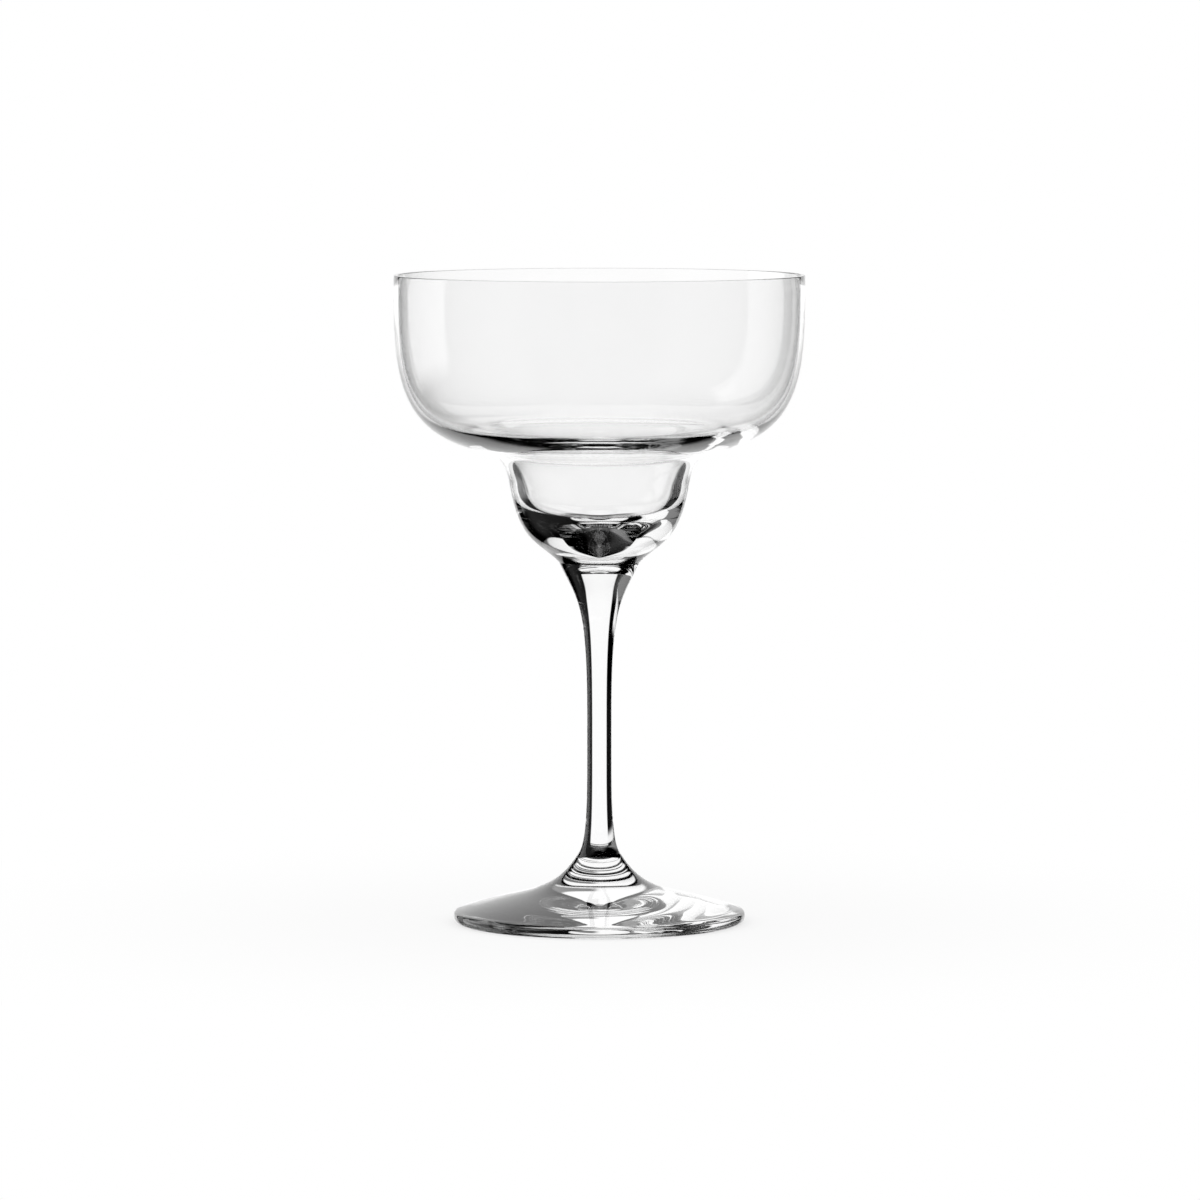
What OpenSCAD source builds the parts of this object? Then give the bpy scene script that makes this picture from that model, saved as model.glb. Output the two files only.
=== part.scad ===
// Margarita glass of clear glass: a wide upper bowl over a narrow lower cup,
// on a drawn stem and a trumpet foot. It stands on z = 0, and the stem's axis is the Z axis.
// Every piece is turned about that axis from one outline, so an outline's points are [radius, height].

/* [Upper bowl] */
// Outer diameter of the rim
rim_d = 110.2; // [96:0.2:126]
// Thickness of the glass at the rim
rim_wall = 1.2; // [0.8:0.1:2]
// Radius of the rim's two melted edges, with a narrow flat between them
rim_edge_r = 0.25; // [0.1:0.05:0.35]
// Height of the straight stretch of the wall under the rim, outside
rim_band_h = 3.4; // [1:0.1:8]
// Height of the same stretch inside
rim_band_inside_h = 3.9; // [1:0.1:8]
// Height of the upper bowl, from the underside of its shoulder to the rim
upper_h = 47.2; // [38:0.1:60]
// Diameter at which the shoulder turns down into the lower cup
shoulder_d = 62; // [56:0.2:72]
// Thickness of the glass at the shoulder, measured upwards
shoulder_wall = 4; // [2:0.1:5]
// Slope of the shoulder outside, in degrees above level
shoulder_slope = 11; // [4:1:16]
// Slope of the shoulder inside
shoulder_inside_slope = 7; // [4:1:16]

/* [Lower cup] */
// Height of the lower cup, from the seam on the stem to the shoulder
cup_h = 29.9; // [24:0.1:40]
// Outer diameter of the lower cup, just under the shoulder
cup_d = 48.3; // [42:0.1:54]
// Thickness of its wall a little lower, where the inside is widest
cup_wall = 4.8; // [2.5:0.1:6]
// Height of the curve between the cup's wall and the shoulder
cup_throat_h = 8.5; // [6:0.1:12]
// Thickness of the solid glass under the inside of the cup
cup_floor = 6.2; // [4.6:0.1:12]
// Slope of the inside at the middle of its floor, which runs to a soft point
cup_floor_slope = 22; // [0:1:35]
// Slope of the cup's bottom where it meets the stem, in degrees above level
cup_bottom_slope = 47; // [30:1:60]

/* [Stem] */
// Length of the stem, from the seam in the foot to the seam under the cup
stem_h = 78.5; // [60:0.1:110]
// Diameter of the stem at its waist
stem_d = 6.6; // [5.4:0.1:9]
// Length of the straight waist
waist_h = 11.6; // [6:0.1:16]
// Height of the waist's lower end above the seam in the foot
waist_rise = 24.9; // [18:0.1:32]
// Diameter of the seam under the cup
stem_top_d = 21.6; // [17:0.1:26]
// Diameter of the seam in the foot
stem_foot_d = 11.2; // [10:0.1:14]

/* [Foot] */
// Outer diameter of the foot
foot_d = 78.4; // [68:0.2:92]
// Height of the foot, from the table to the seam on the stem
foot_h = 18.6; // [14:0.1:26]
// Height of the crest of the foot's rounded edge
foot_edge_h = 3.8; // [3:0.1:6]
// Width of that rounded edge
foot_edge_w = 2.5; // [1.5:0.1:4]
// How far the edge draws in under the foot's widest line
foot_undercut = 1.7; // [0.6:0.1:2.4]
// Width of the flat ring that the glass stands on
rest_ring_w = 2.5; // [1.5:0.1:5]
// Height of the hollow under the foot
foot_hollow = 2.4; // [1:0.1:4]

/* [Hidden] */
$fn = 128;

// Straight steps in each curve of an outline, and in each melted edge of the rim
curve_steps = 20;
rim_steps = 5;

// Clear glass with the faint blue green that a thick edge shows
glass = [0.86, 0.93, 0.94, 0.35];

// Heights above the table, each built on the one below it
foot_top_z = foot_h;
stem_top_z = foot_top_z + stem_h;
shoulder_z = stem_top_z + cup_h;
rim_z = shoulder_z + upper_h;

// Slopes in degrees above level, going outwards
cup_wall_slope = 81;
cup_wall_inside_slope = 69;
stem_flare_slope = 65;
stem_skirt_slope = 123;
foot_crest_slope = -17;

// Shares of a curve's own height or width that its two handles reach
upper_outside_shares = [0.48, 0.99];
upper_inside_shares = [0.42, 0.99];
throat_outside_shares = [0.31, 0.85];
throat_inside_shares = [0.93, 0.37];
cup_outside_shares = [0.78, 0.59];
cup_inside_shares = [0.56, 0.78];
stem_flare_shares = [0.28, 0.75];
stem_skirt_shares = [0.56, 0.14];
foot_top_shares = [0.88, 0.63];
foot_edge_shares = [0.68, 0.67];
foot_hollow_shares = [0.1, 0.8];

// Shares of the cup's and the shoulder's glass by which the inside lies lower and further out
cup_drop_share = 0.88;
shoulder_out_share = 0.7;

// Corner points that two curves or two pieces have in common
rim_outside = [rim_d / 2, rim_z - rim_band_h];
shoulder_outside = [shoulder_d / 2, shoulder_z];
cup_outside = [cup_d / 2, shoulder_z - cup_throat_h];
stem_top = [stem_top_d / 2, stem_top_z];
waist_top = [stem_d / 2, foot_top_z + waist_rise + waist_h];
waist_bottom = [stem_d / 2, foot_top_z + waist_rise];
stem_foot = [stem_foot_d / 2, foot_top_z];
foot_crest = [foot_d / 2 - foot_edge_w, foot_edge_h];
foot_widest = [foot_d / 2, foot_edge_h - foot_edge_w * foot_edge_shares[0]];
foot_base = [foot_d / 2 - foot_undercut, 0];
rest_ring_inside = [foot_base[0] - rest_ring_w, 0];

rim_inside = [rim_d / 2 - rim_wall, rim_z - rim_band_inside_h];
shoulder_inside = shoulder_outside + shoulder_wall * [shoulder_out_share, 1];
cup_inside = cup_outside - cup_wall * [1, cup_drop_share];
cup_floor_middle = [0, stem_top_z + cup_floor];

// The point at distance d from p, in the direction that is a degrees above level
function toward(p, a, d) = p + d * [cos(a), sin(a)];

// A smooth curve from just after p to q, drawn towards the handles a and b
function curve(p, a, b, q) = [
    for (i = [1 : curve_steps])
        let (t = i / curve_steps, s = 1 - t)
            s * s * s * p + 3 * s * s * t * a + 3 * s * t * t * b + t * t * t * q
];

// The outside of the bowl, from the seam on the stem up to the rim
function bowl_outside() = concat(
    [stem_top],
    curve(
        stem_top,
        toward(stem_top, cup_bottom_slope, cup_outside_shares[1] * (cup_outside[0] - stem_top[0])),
        toward(cup_outside, cup_wall_slope, -cup_outside_shares[0] * (cup_outside[1] - stem_top[1])),
        cup_outside
    ),
    curve(
        cup_outside,
        toward(cup_outside, cup_wall_slope, throat_outside_shares[1] * cup_throat_h),
        toward(shoulder_outside, shoulder_slope,
            -throat_outside_shares[0] * (shoulder_outside[0] - cup_outside[0])),
        shoulder_outside
    ),
    curve(
        shoulder_outside,
        toward(shoulder_outside, shoulder_slope,
            upper_outside_shares[1] * (rim_outside[0] - shoulder_outside[0])),
        rim_outside - [0, upper_outside_shares[0] * upper_h],
        rim_outside
    )
);

// The rim: a melted edge from the outer wall up to the flat, and one from the flat down to the inner wall
function bowl_rim() =
    let (r = rim_edge_r,
        outer = [rim_d / 2 - r, rim_z - r],
        inner = [rim_d / 2 - rim_wall + r, rim_z - r])
        concat(
            [for (i = [0 : rim_steps]) toward(outer, 90 * i / rim_steps, r)],
            [for (i = [0 : rim_steps]) toward(inner, 90 + 90 * i / rim_steps, r)]
        );

// The inside of the bowl, from the rim down to the middle of the cup's floor
function bowl_inside() = concat(
    [rim_inside],
    curve(
        rim_inside,
        rim_inside - [0, upper_inside_shares[0] * (rim_inside[1] - shoulder_inside[1])],
        toward(shoulder_inside, shoulder_inside_slope,
            upper_inside_shares[1] * (rim_inside[0] - shoulder_inside[0])),
        shoulder_inside
    ),
    curve(
        shoulder_inside,
        toward(shoulder_inside, shoulder_inside_slope,
            -throat_inside_shares[0] * (shoulder_inside[0] - cup_inside[0])),
        toward(cup_inside, cup_wall_inside_slope,
            throat_inside_shares[1] * (shoulder_inside[1] - cup_inside[1])),
        cup_inside
    ),
    curve(
        cup_inside,
        toward(cup_inside, cup_wall_inside_slope,
            -cup_inside_shares[0] * (cup_inside[1] - cup_floor_middle[1])),
        toward(cup_floor_middle, cup_floor_slope, cup_inside_shares[1] * cup_inside[0]),
        cup_floor_middle
    )
);

// The side of the stem, from the seam under the cup down to the seam in the foot
function stem_side() = concat(
    [stem_top],
    curve(
        stem_top,
        toward(stem_top, stem_flare_slope, -stem_flare_shares[0] * (stem_top[1] - waist_top[1])),
        waist_top + [0, stem_flare_shares[1] * (stem_top[1] - waist_top[1])],
        waist_top
    ),
    [waist_bottom],
    curve(
        waist_bottom,
        waist_bottom - [0, stem_skirt_shares[0] * waist_rise],
        toward(stem_foot, stem_skirt_slope, stem_skirt_shares[1] * waist_rise),
        stem_foot
    )
);

// The foot, from the seam on the stem over its top and edge to the middle of the hollow below
function foot_outline() = concat(
    [stem_foot],
    curve(
        stem_foot,
        toward(stem_foot, stem_skirt_slope, -foot_top_shares[0] * (foot_h - foot_edge_h)),
        toward(foot_crest, foot_crest_slope, -foot_top_shares[1] * (foot_crest[0] - stem_foot[0])),
        foot_crest
    ),
    curve(
        foot_crest,
        toward(foot_crest, foot_crest_slope, foot_edge_shares[0] * foot_edge_w),
        foot_widest + [0, foot_edge_shares[0] * (foot_crest[1] - foot_widest[1])],
        foot_widest
    ),
    curve(
        foot_widest,
        foot_widest - [0, foot_edge_shares[1] * foot_widest[1]],
        foot_base + [foot_edge_shares[1] * foot_undercut, 0],
        foot_base
    ),
    [rest_ring_inside],
    curve(
        rest_ring_inside,
        rest_ring_inside * (1 - foot_hollow_shares[0]),
        [rest_ring_inside[0] * foot_hollow_shares[1], foot_hollow],
        [0, foot_hollow]
    )
);

// The upper bowl and the lower cup, blown as one piece, open at the top
module bowl() {
    color(glass)
        rotate_extrude()
            polygon(concat(bowl_outside(), bowl_rim(), bowl_inside(), [[0, stem_top_z]]));
}

// The drawn stem, widest under the cup, narrow at its waist
module stem() {
    color(glass)
        rotate_extrude()
            polygon(concat(stem_side(), [[0, foot_top_z], [0, stem_top_z]]));
}

// The trumpet foot with its rounded edge, flat rest ring and hollow underside
module foot() {
    color(glass)
        rotate_extrude()
            polygon(concat(foot_outline(), [[0, foot_top_z]]));
}

bowl();
stem();
foot();
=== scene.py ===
# %% [markdown]
# # A margarita glass, turned in Blender
# The object is one drinking glass of clear glass: a wide upper bowl that steps in to a narrow
# lower cup, a drawn stem and a trumpet foot. Glass has hardly any colour of its own. What we
# see is the room behind it, bent by the walls, so the two things that matter are a true
# cross-section, inside and outside, and a studio that gives the walls something to bend.

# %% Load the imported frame
import math

import bmesh
import bpy
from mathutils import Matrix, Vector


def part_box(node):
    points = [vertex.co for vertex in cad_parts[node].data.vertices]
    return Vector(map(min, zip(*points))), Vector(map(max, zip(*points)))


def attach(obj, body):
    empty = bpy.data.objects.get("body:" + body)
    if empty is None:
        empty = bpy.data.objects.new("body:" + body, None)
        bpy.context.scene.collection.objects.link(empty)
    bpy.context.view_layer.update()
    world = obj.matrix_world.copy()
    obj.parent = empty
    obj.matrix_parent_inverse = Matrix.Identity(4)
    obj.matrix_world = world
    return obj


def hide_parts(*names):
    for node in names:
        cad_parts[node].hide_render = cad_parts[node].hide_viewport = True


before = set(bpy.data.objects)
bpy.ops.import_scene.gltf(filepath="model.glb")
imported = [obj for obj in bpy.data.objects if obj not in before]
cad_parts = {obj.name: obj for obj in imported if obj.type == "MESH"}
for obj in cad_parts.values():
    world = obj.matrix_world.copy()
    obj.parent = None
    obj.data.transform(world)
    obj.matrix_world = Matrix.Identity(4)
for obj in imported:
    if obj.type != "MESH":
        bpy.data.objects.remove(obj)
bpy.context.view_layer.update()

print("nodes:", sorted(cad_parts))

# %% [markdown]
# ## Sizes
# Every piece is turned about the Z axis, so a piece is only an outline of points
# (radius, height). The places where the pieces meet come from the frame's boxes. The rest are
# the glass's own sizes, in millimetres, as a glass maker would write them on a drawing.
# The alternative is to use the CAD meshes as they are, but their flat facets would each bend
# the light their own way and the glass would glitter like a cut stone.

# %% Heights and radii from the frame
MM = 0.001


def high(node):
    """Height of a node's top in millimetres."""
    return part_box(node)[1][2] / MM


def width(node):
    """Full width of a node along Y in millimetres."""
    low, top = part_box(node)
    return (top[1] - low[1]) / MM


rim_z = high("bowl")
cup_seam_z = high("stem")
foot_seam_z = high("foot")
rim_r = width("bowl") / 2
cup_seam_r = width("stem") / 2
foot_r = width("foot") / 2
print("rim", round(rim_r, 2), "at", round(rim_z, 2))
print("seams at", round(cup_seam_z, 2), round(foot_seam_z, 2))

# %% Sizes that the boxes don't give
rim_wall = 1.2
rim_edge_r = 0.25
rim_band_h = 3.4
rim_band_inside_h = 3.9
upper_h = 47.2
shoulder_r = 31
shoulder_wall = 4
shoulder_slope = 11
shoulder_inside_slope = 7
cup_r = 24.15
cup_wall = 4.8
cup_throat_h = 8.5
cup_floor = 6.2
cup_floor_slope = 22
cup_bottom_slope = 47
waist_r = 3.3
waist_h = 11.6
waist_rise = 24.9
foot_seam_r = 5.6
foot_edge_h = 3.8
foot_edge_w = 2.5
foot_undercut = 1.7
rest_ring_w = 2.5
foot_hollow = 2.4
cup_wall_slope = 81
cup_wall_inside_slope = 69
stem_flare_slope = 65
stem_skirt_slope = 123
foot_crest_slope = -17
upper_outside_shares = (0.48, 0.99)
upper_inside_shares = (0.42, 0.99)
throat_outside_shares = (0.31, 0.85)
throat_inside_shares = (0.93, 0.37)
cup_outside_shares = (0.78, 0.59)
cup_inside_shares = (0.56, 0.78)
stem_flare_shares = (0.28, 0.75)
stem_skirt_shares = (0.56, 0.14)
foot_top_shares = (0.88, 0.63)
foot_edge_shares = (0.68, 0.67)
foot_hollow_shares = (0.1, 0.8)
cup_drop_share = 0.88
shoulder_out_share = 0.7

# %% [markdown]
# ## Outlines as curves
# Blown glass has no corners where the breath has pushed it out: its outline is one soft curve
# after another. A cubic curve with two handles is the natural tool, because the handle's
# direction is the slope of the wall and its length is how long the wall keeps that slope.

# %% Curve helpers, with the straight steps in a long curve, a short one and a rim edge
STEPS = 56
SHORT_STEPS = 16
RIM_STEPS = 8


def toward(point, slope, distance):
    """The point at a distance from another, in a direction given in degrees above level."""
    turn = math.radians(slope)
    return Vector((point[0] + distance * math.cos(turn), point[1] + distance * math.sin(turn)))


def curve(start, handle_a, handle_b, end, steps=STEPS):
    """Points of a smooth curve, from just after its start to its end."""
    points = []
    for i in range(1, steps + 1):
        t = i / steps
        s = 1 - t
        points.append(s**3 * start + 3 * s * s * t * handle_a + 3 * s * t * t * handle_b + t**3 * end)
    return points


# %% Corner points that curves and pieces share
rim_outside = Vector((rim_r, rim_z - rim_band_h))
shoulder_outside = Vector((shoulder_r, rim_z - upper_h))
cup_outside = Vector((cup_r, shoulder_outside.y - cup_throat_h))
cup_seam = Vector((cup_seam_r, cup_seam_z))
waist_top = Vector((waist_r, foot_seam_z + waist_rise + waist_h))
waist_bottom = Vector((waist_r, foot_seam_z + waist_rise))
foot_seam = Vector((foot_seam_r, foot_seam_z))
foot_crest = Vector((foot_r - foot_edge_w, foot_edge_h))
foot_widest = Vector((foot_r, foot_edge_h - foot_edge_w * foot_edge_shares[0]))
foot_base = Vector((foot_r - foot_undercut, 0))
rest_ring_inside = Vector((foot_base.x - rest_ring_w, 0))
rim_inside = Vector((rim_r - rim_wall, rim_z - rim_band_inside_h))
shoulder_inside = shoulder_outside + shoulder_wall * Vector((shoulder_out_share, 1))
cup_inside = cup_outside - cup_wall * Vector((1, cup_drop_share))
cup_floor_middle = Vector((0, cup_seam_z + cup_floor))
UP = Vector((0, 1))
OUT = Vector((1, 0))

# %% The bowl's outline


def bowl_outline():
    """Outside from the seam up to the rim, over the rim, and down inside to the cup's floor."""
    drop = cup_outside.y - cup_seam.y
    points = [cup_seam]
    points += curve(
        cup_seam,
        toward(cup_seam, cup_bottom_slope, cup_outside_shares[1] * (cup_outside.x - cup_seam.x)),
        toward(cup_outside, cup_wall_slope, -cup_outside_shares[0] * drop),
        cup_outside,
    )
    points += curve(
        cup_outside,
        toward(cup_outside, cup_wall_slope, throat_outside_shares[1] * cup_throat_h),
        toward(shoulder_outside, shoulder_slope, -throat_outside_shares[0] * (shoulder_r - cup_r)),
        shoulder_outside,
    )
    points += curve(
        shoulder_outside,
        toward(shoulder_outside, shoulder_slope, upper_outside_shares[1] * (rim_r - shoulder_r)),
        rim_outside - upper_outside_shares[0] * upper_h * UP,
        rim_outside,
    )
    outer_edge = Vector((rim_r - rim_edge_r, rim_z - rim_edge_r))
    inner_edge = Vector((rim_r - rim_wall + rim_edge_r, rim_z - rim_edge_r))
    quarter = [90 * i / RIM_STEPS for i in range(RIM_STEPS + 1)]
    points += [toward(outer_edge, slope, rim_edge_r) for slope in quarter]
    points += [toward(inner_edge, 90 + slope, rim_edge_r) for slope in quarter]
    points.append(rim_inside)
    upper_inside_width = rim_inside.x - shoulder_inside.x
    throat_inside_width = shoulder_inside.x - cup_inside.x
    throat_inside_drop = shoulder_inside.y - cup_inside.y
    cup_inside_drop = cup_inside.y - cup_floor_middle.y
    points += curve(
        rim_inside,
        rim_inside - upper_inside_shares[0] * (rim_inside.y - shoulder_inside.y) * UP,
        toward(shoulder_inside, shoulder_inside_slope, upper_inside_shares[1] * upper_inside_width),
        shoulder_inside,
    )
    points += curve(
        shoulder_inside,
        toward(shoulder_inside, shoulder_inside_slope, -throat_inside_shares[0] * throat_inside_width),
        toward(cup_inside, cup_wall_inside_slope, throat_inside_shares[1] * throat_inside_drop),
        cup_inside,
    )
    points += curve(
        cup_inside,
        toward(cup_inside, cup_wall_inside_slope, -cup_inside_shares[0] * cup_inside_drop),
        toward(cup_floor_middle, cup_floor_slope, cup_inside_shares[1] * cup_inside.x),
        cup_floor_middle,
    )
    return points


# %% The stem's and the foot's outlines


def stem_outline():
    """The side of the stem, from the seam in the foot up to the seam under the cup."""
    points = [cup_seam]
    points += curve(
        cup_seam,
        toward(cup_seam, stem_flare_slope, -stem_flare_shares[0] * (cup_seam.y - waist_top.y)),
        waist_top + stem_flare_shares[1] * (cup_seam.y - waist_top.y) * UP,
        waist_top,
    )
    points.append(waist_bottom)
    points += curve(
        waist_bottom,
        waist_bottom - stem_skirt_shares[0] * waist_rise * UP,
        toward(foot_seam, stem_skirt_slope, stem_skirt_shares[1] * waist_rise),
        foot_seam,
    )
    return points[::-1]


def foot_outline():
    """From the hollow's middle under the foot, out over the edge and up to the seam."""
    points = [foot_seam]
    points += curve(
        foot_seam,
        toward(foot_seam, stem_skirt_slope, -foot_top_shares[0] * (foot_seam.y - foot_edge_h)),
        toward(foot_crest, foot_crest_slope, -foot_top_shares[1] * (foot_crest.x - foot_seam.x)),
        foot_crest,
    )
    points += curve(
        foot_crest,
        toward(foot_crest, foot_crest_slope, foot_edge_shares[0] * foot_edge_w),
        foot_widest + foot_edge_shares[0] * (foot_crest.y - foot_widest.y) * UP,
        foot_widest,
        SHORT_STEPS,
    )
    points += curve(
        foot_widest,
        foot_widest - foot_edge_shares[1] * foot_widest.y * UP,
        foot_base + foot_edge_shares[1] * foot_undercut * OUT,
        foot_base,
        SHORT_STEPS,
    )
    points.append(rest_ring_inside)
    points += curve(
        rest_ring_inside,
        rest_ring_inside * (1 - foot_hollow_shares[0]),
        Vector((rest_ring_inside.x * foot_hollow_shares[1], foot_hollow)),
        Vector((0, foot_hollow)),
    )
    return points[::-1]


for title, outline in (("bowl", bowl_outline()), ("stem", stem_outline()), ("foot", foot_outline())):
    print(title, "outline has", len(outline), "points")

# %% [markdown]
# ## Shader maths as plain expressions
# Node trees get long when every sum is a node made by hand. A small class that wraps a socket
# and knows + - * / lets the tree be written as the formula it is.

# %% A socket that can be used in a formula


class Wire:
    """A socket of a node tree. Sums of wires and numbers add Math nodes."""

    def __init__(self, tree, socket):
        self.tree = tree
        self.socket = socket

    def math(self, operation, *others, clamp=False):
        node = self.tree.nodes.new("ShaderNodeMath")
        node.operation = operation
        node.use_clamp = clamp
        for slot, value in zip(node.inputs, (self, *others)):
            plug(self.tree, slot, value)
        return Wire(self.tree, node.outputs[0])

    def __add__(self, other):
        return self.math("ADD", other)

    __radd__ = __add__

    def __mul__(self, other):
        return self.math("MULTIPLY", other)

    __rmul__ = __mul__

    def __sub__(self, other):
        return self.math("SUBTRACT", other)

    def __rsub__(self, other):
        return self.math("MULTIPLY", -1).math("ADD", other)

    def __truediv__(self, other):
        return self.math("DIVIDE", other)


def plug(tree, slot, value):
    """Link a wire to a slot, or write a plain value into it."""
    if isinstance(value, Wire):
        tree.links.new(value.socket, slot)
    else:
        slot.default_value = value


def add_node(tree, kind, settings=None, **sockets):
    """Add a node, set it up first, then fill its sockets by name. Spaces are written as _."""
    node = tree.nodes.new(kind)
    for key, value in (settings or {}).items():
        setattr(node, key, value)
    for key, value in sockets.items():
        plug(tree, node.inputs[key.replace("_", " ")], value)
    return lambda name=0: Wire(tree, node.outputs[name])


# %% [markdown]
# ## Clear glass
# Real soda glass bends light by an index of about 1.52, is polished by the flame and has next
# to no colour. A Principled shader with full transmission is that glass. Blown walls are never
# quite even, so a bump two hundredths of a millimetre high, drawn out round the axis as the
# turning of the gather draws it, lets the edges of the reflections waver. Cycles finds no light
# through refracting walls by shadow rays, so for those alone the wall is plain transparent:
# the floor then gets the soft, faint shadow that a drinking glass throws.

# %% The glass and its fused seams
GLASS_BENDING = 1.52
SHADOW_TINT = (0.80, 0.81, 0.81, 1)
WAVE_HEIGHT = 0.02 * MM
WAVE_STRETCH = (1.0, 1.0, 2.5)
WAVES_PER_METRE = 60


def new_material(name):
    made = bpy.data.materials.new(name)
    made.use_nodes = True
    made.node_tree.nodes.clear()
    return made, made.node_tree


def clear_glass():
    made, tree = new_material("polished_glass")
    spot = add_node(tree, "ShaderNodeTexCoord")("Object")
    drawn = add_node(tree, "ShaderNodeMapping", Vector=spot, Scale=WAVE_STRETCH)()
    waves = add_node(tree, "ShaderNodeTexNoise", Vector=drawn, Scale=WAVES_PER_METRE, Detail=1.0)()
    wavy = add_node(tree, "ShaderNodeBump", Height=waves, Strength=1.0, Distance=WAVE_HEIGHT)()
    wall = add_node(
        tree, "ShaderNodeBsdfPrincipled",
        Base_Color=(1, 1, 1, 1), Roughness=0.0, IOR=GLASS_BENDING, Transmission_Weight=1.0, Normal=wavy,
    )
    shade = add_node(tree, "ShaderNodeBsdfTransparent", Color=SHADOW_TINT)
    path = add_node(tree, "ShaderNodeLightPath")
    mixed = add_node(tree, "ShaderNodeMixShader", Fac=path("Is Shadow Ray"))
    mix_node = mixed().socket.node
    tree.links.new(wall().socket, mix_node.inputs[1])
    tree.links.new(shade().socket, mix_node.inputs[2])
    add_node(tree, "ShaderNodeOutputMaterial", Surface=mixed())
    return made


def fused_seam():
    made, tree = new_material("fused_seam")
    open_way = add_node(tree, "ShaderNodeBsdfTransparent", Color=(1, 1, 1, 1))
    add_node(tree, "ShaderNodeOutputMaterial", Surface=open_way())
    return made


glass = clear_glass()
seam = fused_seam()
print("materials:", glass.name, seam.name)

# %% [markdown]
# ## Turning the pieces
# A turned piece is the outline carried round the axis. Each mesh is closed: where the outline
# stops at a seam, a flat disc closes it. Those discs get the seam material, because in the
# real glass the pieces are melted into one and nothing bends the light there.

# %% Turn an outline into a closed mesh
# Faces round the axis, the least angle of a sharp edge, and the millimetres that count as none
ROUND = 256
CORNER = math.radians(20)
SAME = 0.001


def turn_piece(name, outline, closing_heights=()):
    """A closed mesh from an outline, with flat discs at the given heights. Its faces look outwards."""
    points = list(outline)
    for height in closing_heights:
        if abs(points[0].y - height) < SAME:
            points.insert(0, Vector((0, height)))
        else:
            points.append(Vector((0, height)))
    mesh = bmesh.new()
    rings = []
    for radius, height in points:
        if radius < SAME:
            rings.append([mesh.verts.new((0, 0, height * MM))])
            continue
        ring = []
        for i in range(ROUND):
            angle = 2 * math.pi * i / ROUND
            x = radius * math.cos(angle) * MM
            y = radius * math.sin(angle) * MM
            ring.append(mesh.verts.new((x, y, height * MM)))
        rings.append(ring)
    for k, (lower, upper) in enumerate(zip(rings[:-1], rings[1:])):
        low, top = points[k].y, points[k + 1].y
        closing = any(max(abs(low - height), abs(top - height)) < SAME for height in closing_heights)
        for i in range(ROUND):
            j = (i + 1) % ROUND
            lower_pair = [lower[i % len(lower)], lower[j % len(lower)]]
            upper_pair = [upper[j % len(upper)], upper[i % len(upper)]]
            face = mesh.faces.new(list(dict.fromkeys(lower_pair + upper_pair)))
            face.smooth = True
            face.material_index = 1 if closing else 0
    mesh.normal_update()
    print(name, "holds", round(mesh.calc_volume(signed=True) * 1e6, 1), "cubic centimetres of glass")
    for edge in mesh.edges:
        if edge.calc_face_angle(0) > CORNER:
            edge.smooth = False
    made = bpy.data.meshes.new(name)
    mesh.to_mesh(made)
    mesh.free()
    made.materials.append(glass)
    made.materials.append(seam)
    piece = bpy.data.objects.new(name, made)
    bpy.context.scene.collection.objects.link(piece)
    return piece


def place(piece, node):
    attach(piece, "root")
    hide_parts(node)
    print(piece.name, "has", len(piece.data.polygons), "faces")


bowl = turn_piece("blown_bowl", bowl_outline(), [cup_seam_z])
place(bowl, "bowl")
stem = turn_piece("drawn_stem", stem_outline(), [cup_seam_z, foot_seam_z])
place(stem, "stem")
foot = turn_piece("trumpet_foot", foot_outline(), [foot_seam_z])
place(foot, "foot")

# %% [markdown]
# ## The studio
# Clear glass is drawn by what stands round it. The photograph is a bright-field picture: a white
# field behind the glass, darkness beside it that gives the stem its black sides, and one tall
# white panel at the left, which lies as a strip of light on the bowl. The world is built as that
# room, by the direction of the ray: an azimuth round the glass and a height above level. Lamps and
# cards could do nearly the same, but each would also show where it isn't wanted. Here light that
# passes through the glass and light that the glass mirrors have a room each, which no real studio
# has. Smaller fields stand where somebody at the side, behind or higher up looks through the glass.
# The camera itself sees plain white, and the floor is lit by plain even light.

# %% The room as a function of direction


def rise(value, start, end):
    """A soft step from 0 at start to 1 at end. Start may be the larger one."""
    tree = value.tree
    made = add_node(
        tree, "ShaderNodeMapRange", {"interpolation_type": "SMOOTHSTEP"},
        Value=value, From_Min=start, From_Max=end, To_Min=0.0, To_Max=1.0,
    )
    return made("Result")


def blend(low, top, share):
    """Low where the share is 0 and top where it is 1."""
    return low + share * (top - low)


world = bpy.data.worlds.new("studio")
world.use_nodes = True
room = world.node_tree
room.nodes.clear()
bpy.context.scene.world = world

ray = add_node(room, "ShaderNodeTexCoord")("Generated")
direction = add_node(room, "ShaderNodeSeparateXYZ", Vector=ray)
turn = direction("X").math("ARCTAN2", direction("Y")) * (180 / math.pi)
lift = direction("Z").math("ARCSINE") * (180 / math.pi)


def sector(middle, half, soft=3):
    """1 within half degrees of an azimuth, fading to 0 over the soft edge."""
    off = (turn - middle).math("WRAP", 180, -180).math("ABSOLUTE")
    return rise(off, half + soft, half - soft)


def belt(low, top, soft=3):
    """1 between two heights above level."""
    return rise(lift, low - soft, low + soft) * rise(lift, top + soft, top - soft)


def brightest(*lights):
    """The brightest of several lights in each direction."""
    most = lights[0]
    for light in lights[1:]:
        most = most.math("MAXIMUM", light)
    return most


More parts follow.
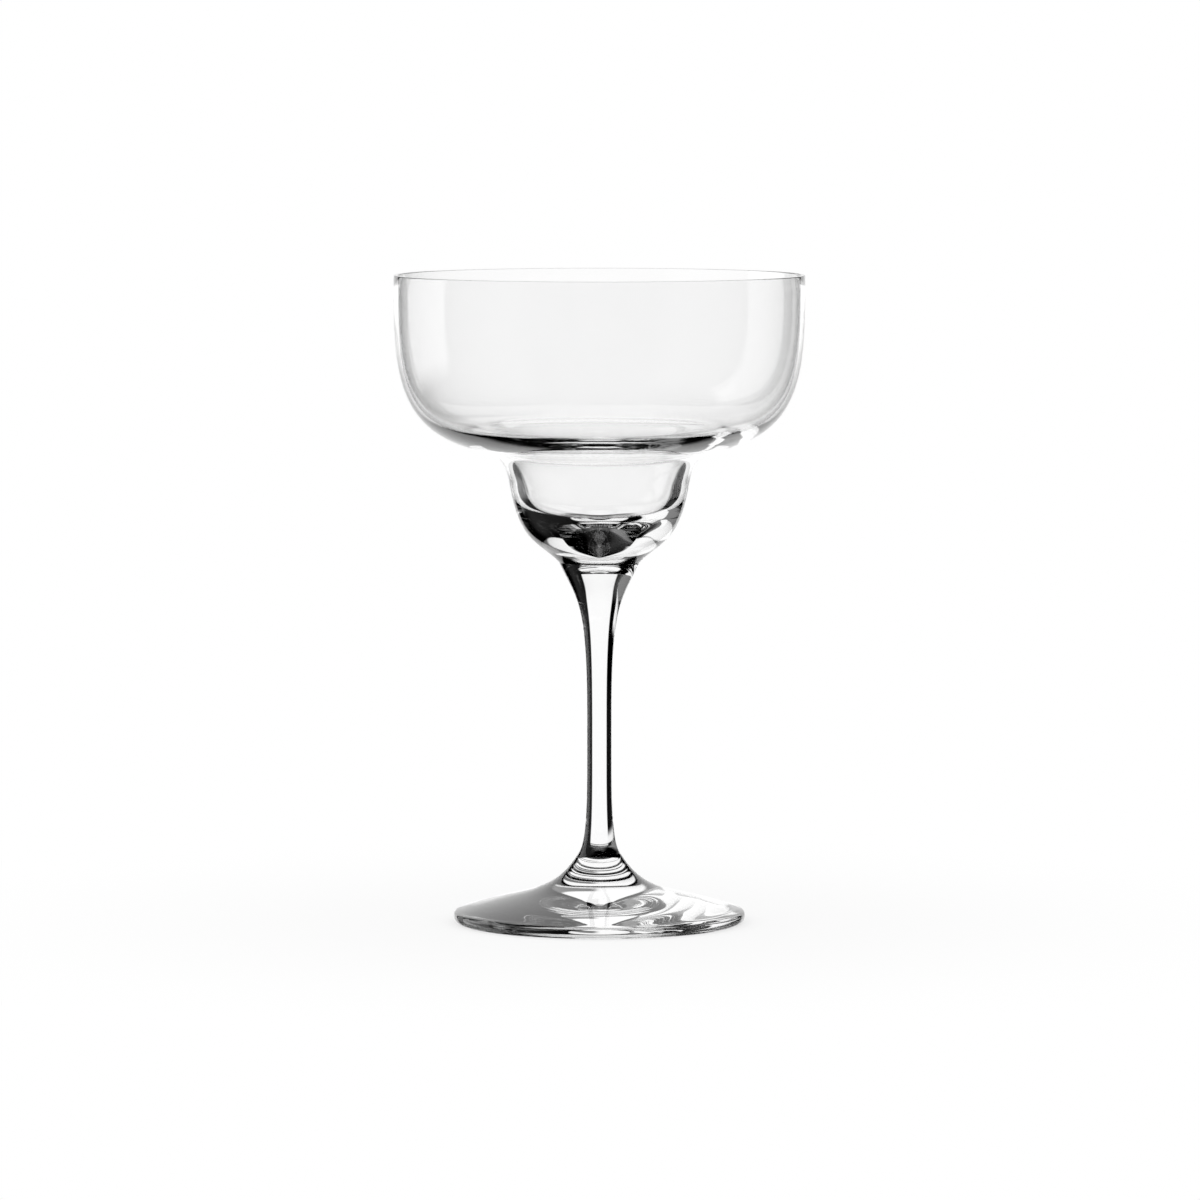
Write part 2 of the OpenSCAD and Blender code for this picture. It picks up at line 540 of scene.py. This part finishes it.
# %% What stands in the room
# Each lies at an azimuth, with half its width and, where it isn't the usual one, its soft edge,
# all in degrees. 0 is straight behind the glass and -90 is at its left.
FIELD = (0, 26, 1.5)
PANEL = (-63, 20, 1.5)
LEFT_FIELD = (-90, 20, 3)
FRONT_RIGHT_FIELD = (135, 20, 6)
BACK_LEFT_TABLE = (-45, 30)
FRONT_RIGHT_TABLE = (135, 40)
DIM_LEFT = (-98, 42, 12)
DIM_FRONT = (180, 40, 20)
FLAG = (15, 13, 3)

# Each reaches from one height above level to another, in degrees, and may have its own soft edge
SMALL_FIELDS_REACH = (-12, 12)
BACK_LEFT_TABLE_REACH = (-36, -17)
FRONT_RIGHT_TABLE_REACH = (-50, -8)
DIM_LEFT_REACH = (-45, 50, 8)
DIM_FRONT_REACH = (-75, -2, 4)
FLAG_REACH = (0, 18, 2)

# Edges in degrees above level, each from no light to full light
FIELD_BOTTOM = (-46, -38)
FIELD_TOP = (70, 60)
PANEL_BOTTOM_SEEN = (4, 10)
PANEL_BOTTOM_MIRRORED = (-20, -14)
PANEL_TOP = (47, 43)
OVERHEAD_BOTTOM = (50, 65)

# Strengths, where 1 is the white of the background
FIELD_LIGHT = 1.06
PANEL_LIGHT = 1.1
FRONT_RIGHT_LIGHT = 0.9
OVERHEAD_LIGHT = 0.5
DIM_LEFT_LIGHT = 0.25
DIM_FRONT_LIGHT = 0.1
FLAG_SHARE = 0.8

# Behind the glass in the photograph: a white field from the table up to well over the rim
field = sector(*FIELD) * rise(lift, *FIELD_BOTTOM) * rise(lift, *FIELD_TOP) * FIELD_LIGHT

# The tall white panel at the left. Light that only passes through the glass finds it just above
# level, so the stem's right side stays black. Mirrored light finds it to well below level.
panel = sector(*PANEL) * rise(lift, *PANEL_TOP) * PANEL_LIGHT
panel_seen = panel * rise(lift, *PANEL_BOTTOM_SEEN)
panel_mirrored = panel * rise(lift, *PANEL_BOTTOM_MIRRORED)

# White fields and tables for someone who stands at the side, behind or higher up
small_fields = sector(*LEFT_FIELD) + sector(*FRONT_RIGHT_FIELD) * FRONT_RIGHT_LIGHT
small_fields = belt(*SMALL_FIELDS_REACH) * small_fields
tables = belt(*BACK_LEFT_TABLE_REACH) * sector(*BACK_LEFT_TABLE)
tables = tables + belt(*FRONT_RIGHT_TABLE_REACH) * sector(*FRONT_RIGHT_TABLE)
overhead = rise(lift, *OVERHEAD_BOTTOM) * OVERHEAD_LIGHT
seen_through = brightest(field, panel_seen, small_fields, tables, overhead)

# What the glass mirrors besides: the dim left of the room, and the dim front behind the camera
dim_left = sector(*DIM_LEFT) * belt(*DIM_LEFT_REACH) * DIM_LEFT_LIGHT
dim_front = sector(*DIM_FRONT) * belt(*DIM_FRONT_REACH) * DIM_FRONT_LIGHT
seen_mirrored = brightest(field, panel_mirrored, dim_left, dim_front)

# A dark flag right of the field's middle, for light that is mirrored inside the glass
flag = sector(*FLAG) * belt(*FLAG_REACH) * FLAG_SHARE

# %% Which room a ray finds
path = add_node(room, "ShaderNodeLightPath")
mirrored = path("Glossy Depth").math("MINIMUM", 1)
through = path("Is Glossy Ray").math("MAXIMUM", path("Is Transmission Ray"))
inside = path("Transmission Depth").math("MINIMUM", 1)
seen_mirrored = seen_mirrored * (1 - inside * flag)
strength = blend(1.0, seen_through + mirrored * (seen_mirrored - seen_through), through)
strength = blend(strength, 1.0, path("Is Camera Ray"))
light = add_node(room, "ShaderNodeBackground", Color=(1, 1, 1, 1), Strength=strength)
add_node(room, "ShaderNodeOutputWorld", Surface=light())
print("studio made of", len(room.nodes), "nodes")

# %% [markdown]
# ## The floor
# A plain pale table top. Near the foot a smaller share of it is matt paint in the studio's light,
# which keeps a weakened shadow of the glass, and the rest is plain white. Further off all of it
# fades to the white of the background, so no edge or horizon shows. What the glass itself shows
# below level is the room's own table, so rays in the glass pass the floor.

# %% Floor
# Half its width in metres, where its paint starts and ends to fade, and its share of white near the foot
FLOOR_HALF = 4.0
FADE_START = 0.05
FADE_END = 0.22
NEAR_WHITE_SHARE = 0.7
floor_mesh = bpy.data.meshes.new("floor")
floor_corners = [(-FLOOR_HALF, -FLOOR_HALF, 0), (FLOOR_HALF, -FLOOR_HALF, 0)]
floor_corners += [(FLOOR_HALF, FLOOR_HALF, 0), (-FLOOR_HALF, FLOOR_HALF, 0)]
floor_mesh.from_pydata(floor_corners, [], [(0, 1, 2, 3)])
floor = bpy.data.objects.new("floor", floor_mesh)
bpy.context.scene.collection.objects.link(floor)

floor_paint, tree = new_material("pale_floor")
spot = add_node(tree, "ShaderNodeNewGeometry")("Position")
reach = add_node(tree, "ShaderNodeVectorMath", {"operation": "LENGTH"}, Vector=spot)("Value")
paint = add_node(tree, "ShaderNodeBsdfDiffuse", Color=(0.97, 0.97, 0.97, 1))
white = add_node(tree, "ShaderNodeEmission", Color=(1, 1, 1, 1), Strength=1.0)
passing = add_node(tree, "ShaderNodeBsdfTransparent", Color=(1, 1, 1, 1))
path = add_node(tree, "ShaderNodeLightPath")
through = path("Is Glossy Ray").math("MAXIMUM", path("Is Transmission Ray"))


def mix_shaders(tree, low, top, share):
    """Low where the share is 0 and top where it is 1."""
    made = add_node(tree, "ShaderNodeMixShader", Fac=share)
    node = made().socket.node
    tree.links.new(low().socket, node.inputs[1])
    tree.links.new(top().socket, node.inputs[2])
    return made


far = rise(reach, FADE_START, FADE_END)
top = mix_shaders(tree, paint, white, blend(NEAR_WHITE_SHARE, 1.0, far))
add_node(tree, "ShaderNodeOutputMaterial", Surface=mix_shaders(tree, top, passing, through)())
floor_mesh.materials.append(floor_paint)
print("floor is", 2 * FLOOR_HALF, "m wide")

# %% [markdown]
# ## Camera and render settings
# The photograph was taken from about two metres with a long lens, a few degrees above level:
# the rim's ellipse is open by 4.5 degrees. The glass's axis lies a hair left of the
# picture's middle, so the camera aims a hair to the right of it.

# %% Camera
LENS = 218.37
RANGE = 1.954
TILT = math.radians(4.51)
aim = Vector((0.00016, 0, 0.08693))
back = Vector((0, -math.cos(TILT), math.sin(TILT)))
camera = bpy.data.objects.new("camera", bpy.data.cameras.new("camera"))
bpy.context.scene.collection.objects.link(camera)
camera.location = aim + RANGE * back
camera.rotation_euler = back.to_track_quat("Z", "Y").to_euler()
camera.data.sensor_width = 36
camera.data.lens = LENS
camera.data.clip_start = 0.05
bpy.context.scene.camera = camera

# %% Light paths and tone
scene = bpy.context.scene
scene.view_settings.view_transform = "Standard"
scene.cycles.max_bounces = 24
scene.cycles.transmission_bounces = 24
scene.cycles.glossy_bounces = 24
scene.cycles.transparent_max_bounces = 32
scene.cycles.caustics_reflective = False
scene.cycles.caustics_refractive = False
